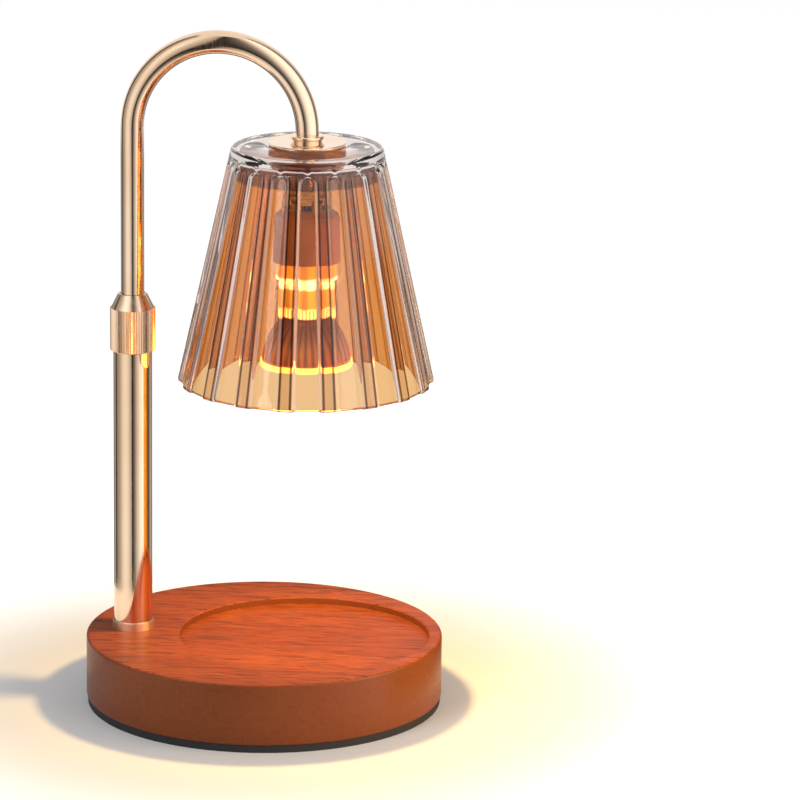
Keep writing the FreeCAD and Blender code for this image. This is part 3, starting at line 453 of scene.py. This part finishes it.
def mesh_object(name, make_shape, materials):
    """One object at the origin, from a function that fills an empty bmesh."""
    shape = bmesh.new()
    make_shape(shape)
    mesh = bpy.data.meshes.new(name)
    shape.to_mesh(mesh)
    shape.free()
    for material in materials:
        mesh.materials.append(material)
    made = bpy.data.objects.new(name, mesh)
    bpy.context.scene.collection.objects.link(made)
    return made


def finished(name, make_shape, body, stands_for, materials):
    """A piece that rides on its body and stands for its CAD node."""
    piece = mesh_object(name, make_shape, materials)
    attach(piece, body)
    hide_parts(stands_for)


def spun(shape, outline, steps):
    """Full turn of a closed (radius, level) outline about the shade's axis."""
    verts = [shape.verts.new((SHADE_X + r, 0, z)) for r, z in outline]
    edges = [shape.edges.new(pair) for pair in zip(verts, verts[1:] + verts[:1])]
    bmesh.ops.spin(
        shape, geom=verts + edges, cent=(SHADE_X, 0, 0), axis=(0, 0, 1), dvec=(0, 0, 0),
        angle=2 * math.pi, steps=steps, use_merge=True,
    )
    bmesh.ops.remove_doubles(shape, verts=shape.verts, dist=MERGE_GAP)
    bmesh.ops.recalc_face_normals(shape, faces=shape.faces)
    for face in shape.faces:
        face.smooth = True


def corner(centre_r, centre_z, radius, start_deg, end_deg):
    """Points of an outline's rounded corner."""
    turn = end_deg - start_deg
    angles = [math.radians(start_deg + turn * k / CORNER_STEPS) for k in range(CORNER_STEPS + 1)]
    return [(centre_r + radius * math.cos(a), centre_z + radius * math.sin(a)) for a in angles]


def smooth_step(x):
    x = min(max(x, 0.0), 1.0)
    return x * x * (3 - 2 * x)


def skin_radius(level):
    """Radius of the unpressed skin."""
    return GLASS_FOOT_R - GLASS_TAPER * (level - GLASS_FOOT_Z)


def glass_outline():
    """Half section of the glass, with close rows where the arches of the flutes end."""
    top = GLASS_TOP_Z - GLASS_TOP_ROUND
    inner_top = GLASS_ROOF_Z - GLASS_INNER_ROUND
    rim = GLASS_FOOT_Z + GLASS_RIM_ROUND
    arch_foot = ARCH_TOP_Z - ARCH_ZONE
    outline = [(GLASS_HOLE_R, GLASS_ROOF_Z), (GLASS_HOLE_R, GLASS_TOP_Z)]
    outline += corner(
        skin_radius(top) - GLASS_TOP_ROUND * GLASS_STRETCH, top, GLASS_TOP_ROUND, 90, GLASS_LEAN_DEG
    )
    level = ARCH_TOP_Z
    while level > arch_foot:
        outline.append((skin_radius(level), level))
        level -= ARCH_ROW
    while level > rim + PANEL_ROW:
        outline.append((skin_radius(level), level))
        level -= PANEL_ROW
    outline += corner(
        skin_radius(rim) - GLASS_RIM_ROUND * GLASS_STRETCH, rim, GLASS_RIM_ROUND, GLASS_LEAN_DEG, -90
    )
    outline += corner(
        skin_radius(rim) - GLASS_WALL + GLASS_RIM_ROUND * GLASS_STRETCH, rim, GLASS_RIM_ROUND,
        270, 180 + GLASS_LEAN_DEG,
    )
    outline += corner(
        skin_radius(inner_top) - GLASS_WALL - GLASS_INNER_ROUND * GLASS_STRETCH, inner_top, GLASS_INNER_ROUND,
        GLASS_LEAN_DEG, 90,
    )
    return outline


def flute_sink(angle, radius, level):
    """How far the skin is pressed in at this angle and level, towards the axis."""
    off = (angle - FLUTE_PHASE + FLUTE_PITCH / 2) % FLUTE_PITCH - FLUTE_PITCH / 2
    side = radius * math.tan(off)
    half_width = radius * math.tan(FLUTE_SPAN / 2)
    arch_r = skin_radius(ARCH_TOP_Z) * math.tan(FLUTE_SPAN / 2)
    centre = ARCH_TOP_Z - arch_r / GLASS_STRETCH
    if level < centre:
        inside = half_width - abs(side)
    else:
        inside = arch_r - math.hypot(side, (level - centre) * GLASS_STRETCH)
    flat = radius - (radius - FLUTE_DEPTH) / math.cos(off)
    return flat * smooth_step(inside / FLUTE_SHOULDER)


def draw_in(vert, sink):
    """Moves a vertex towards the shade's axis by what sink gives for its angle, radius and level."""
    x, y = vert.co.x - SHADE_X, vert.co.y
    radius = math.hypot(x, y)
    share = (radius - sink(math.atan2(y, x), radius, vert.co.z)) / radius
    vert.co.x = SHADE_X + x * share
    vert.co.y = y * share


def make_glass(shape):
    """Turns the glass, presses its flutes into the skin only, and marks the lining as the second finish."""
    spun(shape, glass_outline(), FLUTES * STEPS_PER_FLUTE)
    for vert in shape.verts:
        depth_in_wall = skin_radius(vert.co.z) - math.hypot(vert.co.x - SHADE_X, vert.co.y)
        if depth_in_wall <= GLASS_WALL / 2 and vert.co.z <= GLASS_TOP_Z - GLASS_TOP_ROUND:
            draw_in(vert, flute_sink)
    for face in shape.faces:
        centre = face.calc_center_median()
        depth_in_wall = skin_radius(centre.z) - math.hypot(centre.x - SHADE_X, centre.y)
        lining = depth_in_wall > LINING_SHARE * GLASS_WALL and centre.z < GLASS_ROOF_Z + ROOF_SLACK
        face.material_index = 1 if lining else 0


def flare_outline():
    """Neck and bell of the reflector: outer face down, then the inner face back up."""
    depth = BULB_NECK_FOOT_Z - BULB_FLARE_FOOT_Z
    outer = [(BULB_NECK_R, BULB_NECK_TOP_Z), (BULB_NECK_R, (BULB_NECK_FOOT_Z + BULB_NECK_TOP_Z) / 2)]
    for k in range(BULB_ROWS + 1):
        t = k / BULB_ROWS
        swell = math.sin(t * math.pi / 2) ** BULB_FLARE_CURVE
        outer.append((BULB_NECK_R + (BULB_FLARE_R - BULB_NECK_R) * swell, BULB_NECK_FOOT_Z - depth * t))
    inner = [(max(r - BULB_WALL, 0.0), z) for r, z in reversed(outer)]
    return outer + inner


def rib_sink(angle, radius, level):
    """How far the flare is drawn in at this angle and level. Its ribs fade out at the neck and the foot."""
    start = smooth_step((BULB_NECK_FOOT_Z - level) / BULB_RIB_START)
    end = smooth_step((level - BULB_FLARE_FOOT_Z) / BULB_RIB_END)
    return BULB_RIB_DEPTH * start * end * (0.5 + 0.5 * math.cos(BULB_RIBS * angle))


def make_reflector(shape):
    """Turns the bulb's neck and flare, and draws the flare in between its ribs."""
    spun(shape, flare_outline(), BULB_RIBS * BULB_STEPS_PER_RIB)
    for vert in shape.verts:
        draw_in(vert, rib_sink)


# The stage: floor, studio ring, lights, world and camera

FLOOR_SIDE = 12.0
FLOOR_COLOUR = (0.66, 0.665, 0.67)
FLOOR_LIFT = 0.62
LIFT_FROM_R, LIFT_TO_R = 0.125, 0.265
WORLD_LEVEL = 0.50
BULB_COLOUR = (1.0, 0.64, 0.22)
WARM_COLOUR = (1.0, 0.66, 0.28)
RING_R = 0.20
RING_H = 0.9
RING_CHANGE_Z = 0.24
RING_CHANGE_H = 0.03
RING_STEPS = 96
RING_STRENGTH = 1.5
CAMERA_SIDE_DEG = -82.4

# What the studio ring shows below RING_CHANGE_Z, and above it, at each angle round the post,
# counted from the camera's side: (degrees, colour or level of grey)
RING = [
    (-97.6, 0.23), (-80, 0.33), (-65, 0.55), (-50, 0.72), (-30, 0.68), (-14, 0.42), (-7, 0.32), (-5, 0.02),
    (0, 0.02), (4, 0.07), (12, 0.17), (22, 0.40), (35, 0.62), (45, 0.85), (64, 1.0), (68, (0.75, 0.30, 0.03)),
    (86, (0.60, 0.22, 0.01)), (98, 0.05), (108, 0.07), (125, 0.34), (150, 0.16), (180, 0.12), (215, 0.16),
    (236, 0.34), (240, 0.03), (250, 0.03), (256, 0.20), (262.4, 0.23),
]
RING_ABOVE = [
    (-97.6, 0.28), (-80, 0.33), (-65, 0.55), (-50, 0.72), (-30, 0.68), (-14, 0.42), (-7, 0.32), (-5, 0.02),
    (0, 0.02), (4, 0.05), (14, 0.12), (24, 0.30), (36, 0.62), (60, 1.0), (84, 0.90), (92, 0.12), (100, 0.14),
    (125, 0.60), (145, 0.72), (180, 0.66), (215, 0.72), (232, 0.50), (240, 0.04), (250, 0.04), (262.4, 0.28),
]


def staged(name, make_shape, material):
    made = mesh_object(name, make_shape, [material])
    return made


def hide_from(made, *rays):
    """Makes an object invisible to these kinds of ray."""
    for ray in rays:
        setattr(made, f"visible_{ray}", False)


def make_floor(shape):
    bmesh.ops.create_grid(shape, x_segments=1, y_segments=1, size=FLOOR_SIDE / 2)


def floor_finish():
    """White floor that takes the lamp's shadow. Camera, mirror and glass rays also see a painted glow on it,
    which grows with the distance from the lamp.
    """
    f = Finish("floor")
    matt = f.node("ShaderNodeBsdfDiffuse", None, {"Color": (*FLOOR_COLOUR, 1)})
    reach = f.node("ShaderNodeVectorMath", {"operation": "LENGTH"}, {0: f.place()}, output="Value")
    seen = f.rays("Camera", "Glossy", "Transmission")
    strength = seen * f.band(reach, LIFT_FROM_R, LIFT_TO_R) * FLOOR_LIFT
    lift = f.node("ShaderNodeEmission", None, {"Color": (1, 1, 1, 1), "Strength": strength})
    return f.finish(f.node("ShaderNodeAddShader", None, {0: matt, 1: lift}))


def make_ring(shape):
    """Open upright cylinder round the post, standing on the floor."""
    bmesh.ops.create_cone(
        shape, cap_ends=False, segments=RING_STEPS, radius1=RING_R, radius2=RING_R, depth=RING_H,
        matrix=Matrix.Translation((POST_X, 0, RING_H / 2)),
    )


def ring_finish():
    """Soft light and dark strips, one set of them below RING_CHANGE_Z and one above."""
    f = Finish("studio_ring")
    from_post = f.place(shift=(-POST_X, 0, 0))
    turn = f.node("ShaderNodeTexGradient", {"gradient_type": "RADIAL"}, {"Vector": from_post})

    def round_the_post(levels):
        stops = [
            ((degrees + CAMERA_SIDE_DEG) / 360 + 0.5, level if isinstance(level, tuple) else (level,) * 3)
            for degrees, level in levels
        ]
        return f.node("ShaderNodeValToRGB", {"stops": stops}, {"Fac": turn})

    above = f.band(f.level(), RING_CHANGE_Z, RING_CHANGE_Z + RING_CHANGE_H)
    colour = f.mix(above, round_the_post(RING), round_the_post(RING_ABOVE))
    return f.finish(f.node("ShaderNodeEmission", None, {"Color": colour, "Strength": RING_STRENGTH}))


def add_light(name, kind, place, aim, watts, size, colour=(1, 1, 1)):
    """Light with its own size, turned towards what it is aimed at."""
    data = bpy.data.lights.new(name, kind)
    data.energy = watts
    data.color = colour
    if kind == "AREA":
        data.shape = "DISK"
        data.size = size
    else:
        data.shadow_soft_size = size
    made = bpy.data.objects.new(name, data)
    turn = (Vector(aim) - Vector(place)).to_track_quat("-Z", "Y")
    made.matrix_world = Matrix.Translation(place) @ turn.to_matrix().to_4x4()
    bpy.context.scene.collection.objects.link(made)
    return made


def make_world():
    """White to the camera, to mirrors and to glass, and a soft grey light to everything else."""
    f = Finish("studio", world=True)
    seen = f.rays("Camera", "Glossy", "Transmission")
    level = f.node("ShaderNodeMapRange", None, {"Value": seen, "To Min": WORLD_LEVEL, "To Max": 1.0})
    bpy.context.scene.world = f.finish(f.node("ShaderNodeBackground", None, {
        "Color": (1, 1, 1, 1), "Strength": level,
    }))


def make_camera():
    """Pinhole camera whose target falls on its measured pixel, with no shift of the lens."""
    azimuth, elevation, roll = (math.radians(angle) for angle in (VIEW_AZIMUTH, VIEW_ELEVATION, VIEW_ROLL))
    back = Vector((
        math.sin(azimuth) * math.cos(elevation), -math.cos(azimuth) * math.cos(elevation), math.sin(elevation)
    ))
    ahead = -back
    right = ahead.cross(Vector((0, 0, 1))).normalized()
    up = right.cross(ahead)
    across = (VIEW_TARGET_PIXEL[0] - IMAGE_SIDE / 2) / VIEW_FOCAL_PIXELS
    above = -(VIEW_TARGET_PIXEL[1] - IMAGE_SIDE / 2) / VIEW_FOCAL_PIXELS
    axis = (ahead - across * right - above * up).normalized()
    level_right = axis.cross(Vector((0, 0, 1))).normalized()
    level_up = level_right.cross(axis)
    x_axis = math.cos(roll) * level_right - math.sin(roll) * level_up
    y_axis = math.sin(roll) * level_right + math.cos(roll) * level_up
    turn = Matrix((x_axis, y_axis, -axis)).transposed().to_4x4()
    data = bpy.data.cameras.new("photo_view")
    data.sensor_width = SENSOR_MM
    data.lens = VIEW_FOCAL_PIXELS / IMAGE_SIDE * SENSOR_MM
    data.clip_end = VIEW_FAR
    made = bpy.data.objects.new("photo_view", data)
    made.matrix_world = Matrix.Translation(VIEW_TARGET + back * VIEW_DISTANCE) @ turn
    bpy.context.scene.collection.objects.link(made)
    bpy.context.scene.camera = made


# The lamp

gold = polished_gold("polished_gold", roughness=0.07, wear=0.08)
knurl_gold = polished_gold("knurled_gold", roughness=0.16, wear=0.12)
satin_gold = polished_gold("satin_gold", roughness=0.34, wear=0.14)
steel = turned_metal("zinc_steel", (0.42, 0.41, 0.40), (0.62, 0.61, 0.60), roughness=0.22)
brass = turned_metal("turned_brass", (0.55, 0.38, 0.16), (0.78, 0.58, 0.28), roughness=0.25)
# The holder's cup: its bronze-orange colour is in part painted warm light from the bulb and the amber lining.
enamel = moulded("enamel_with_painted_warm_light", (0.37, 0.20, 0.002), (0.46, 0.26, 0.004), roughness=0.45, shine=0.1)
black_nylon = moulded("black_nylon", (0.012, 0.012, 0.012), (0.022, 0.022, 0.022), roughness=0.5)
white_nylon = moulded("natural_nylon", (0.62, 0.60, 0.54), (0.74, 0.72, 0.66), roughness=0.45)
silicone = moulded("brown_silicone", (0.16, 0.055, 0.025), (0.24, 0.09, 0.04), roughness=0.35)
black_sheath = moulded("black_sheath", (0.010, 0.010, 0.010), (0.020, 0.020, 0.020), roughness=0.5)
red_sheath = moulded("red_sheath", (0.20, 0.035, 0.02), (0.30, 0.06, 0.03), roughness=0.45)
# The bulb's ceramic cap and the holder's ceramic: their orange tint and glow are painted light from the bulb.
glaze_with_painted_glow = lit_bulb("glaze_with_painted_glow", (0.80, 0.48, 0.14), ribs=8, roughness=0.16)
lit_flare = lit_bulb("lit_flare", (0.11, 0.040, 0.010), ribs=BULB_RIBS, roughness=0.12, metallic=0.3)
lens_glow = glowing("lit_lens", (1.0, 0.55, 0.16), strength=5.0, body_colour=(0.8, 0.7, 0.5))
filament_glow = glowing("lit_filament", (1.0, 0.60, 0.20), strength=60.0, body_colour=(0.8, 0.6, 0.3))
capsule_glow = glowing("lit_capsule", (1.0, 0.58, 0.16), strength=9.0, body_colour=(0.8, 0.7, 0.5))

# Nodes that aren't listed are of steel, apart from the two that the pieces below stand for
FINISHES = {
    "base_block": stained_wood(), "base_pad": foam("black_foam", (0.008, 0.008, 0.009)),
    "post_collar": satin_gold, "post_tube": gold, "arm_tube": gold, "clamp_nut": knurl_gold,
    "ring_nut": gold, "shade_plate": gold, "lower_washer": gold,
    "upper_gasket": silicone, "lower_gasket": silicone,
    "cord_bushing": black_nylon, "cavity_cover": black_nylon, "guide_bush": black_nylon,
    "terminal_block": white_nylon, "collet": white_nylon, "thrust_ring": white_nylon,
    "post_top_bush": brass, "holder_contacts": brass, "holder_cup": enamel,
    "holder_ceramic": glaze_with_painted_glow, "bulb_cap": glaze_with_painted_glow, "bulb_lens": lens_glow,
    "bulb_capsule": capsule_glow, "bulb_filament": filament_glow,
    "holder_wire_red": red_sheath, "holder_wire_black": black_sheath,
}
for name, node in nodes.items():
    node.data.materials.clear()
    node.data.materials.append(FINISHES.get(name, steel))

finished("fluted_glass", make_glass, "arm", "glass_shade", [fluted_skin(), amber_skin()])
finished("bulb_flare", make_reflector, "bulb", "bulb_reflector", [lit_flare])

staged("floor", make_floor, floor_finish())
ring = staged("studio_ring", make_ring, ring_finish())
hide_from(ring, "camera", "diffuse", "transmission", "shadow")

add_light("key", "AREA", place=(-1.3, -1.9, 1.7), aim=(0, 0, 0.15), watts=28.0, size=1.4)
add_light("fill", "AREA", place=(1.7, -1.2, 1.2), aim=(0, 0, 0.15), watts=8.0, size=1.2)
add_light("warm_side", "AREA", (0.48, -0.12, 0.12), (0.06, 0, 0.03), watts=2.2, size=0.25, colour=WARM_COLOUR)
under_shade = (SHADE_X, 0, 0)
beam = add_light(
    "bulb_beam", "AREA", place=(SHADE_X, 0, 0.1815), aim=under_shade,
    watts=0.64, size=0.030, colour=BULB_COLOUR,
)
neck = add_light(
    "bulb_neck", "POINT", place=(SHADE_X, 0, 0.209), aim=under_shade,
    watts=0.12, size=0.008, colour=BULB_COLOUR,
)
hide_from(beam, "camera", "glossy")
hide_from(neck, "camera")
for light in (beam, neck):
    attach(light, "bulb")

make_world()
make_camera()
bpy.context.scene.view_settings.view_transform = "Standard"
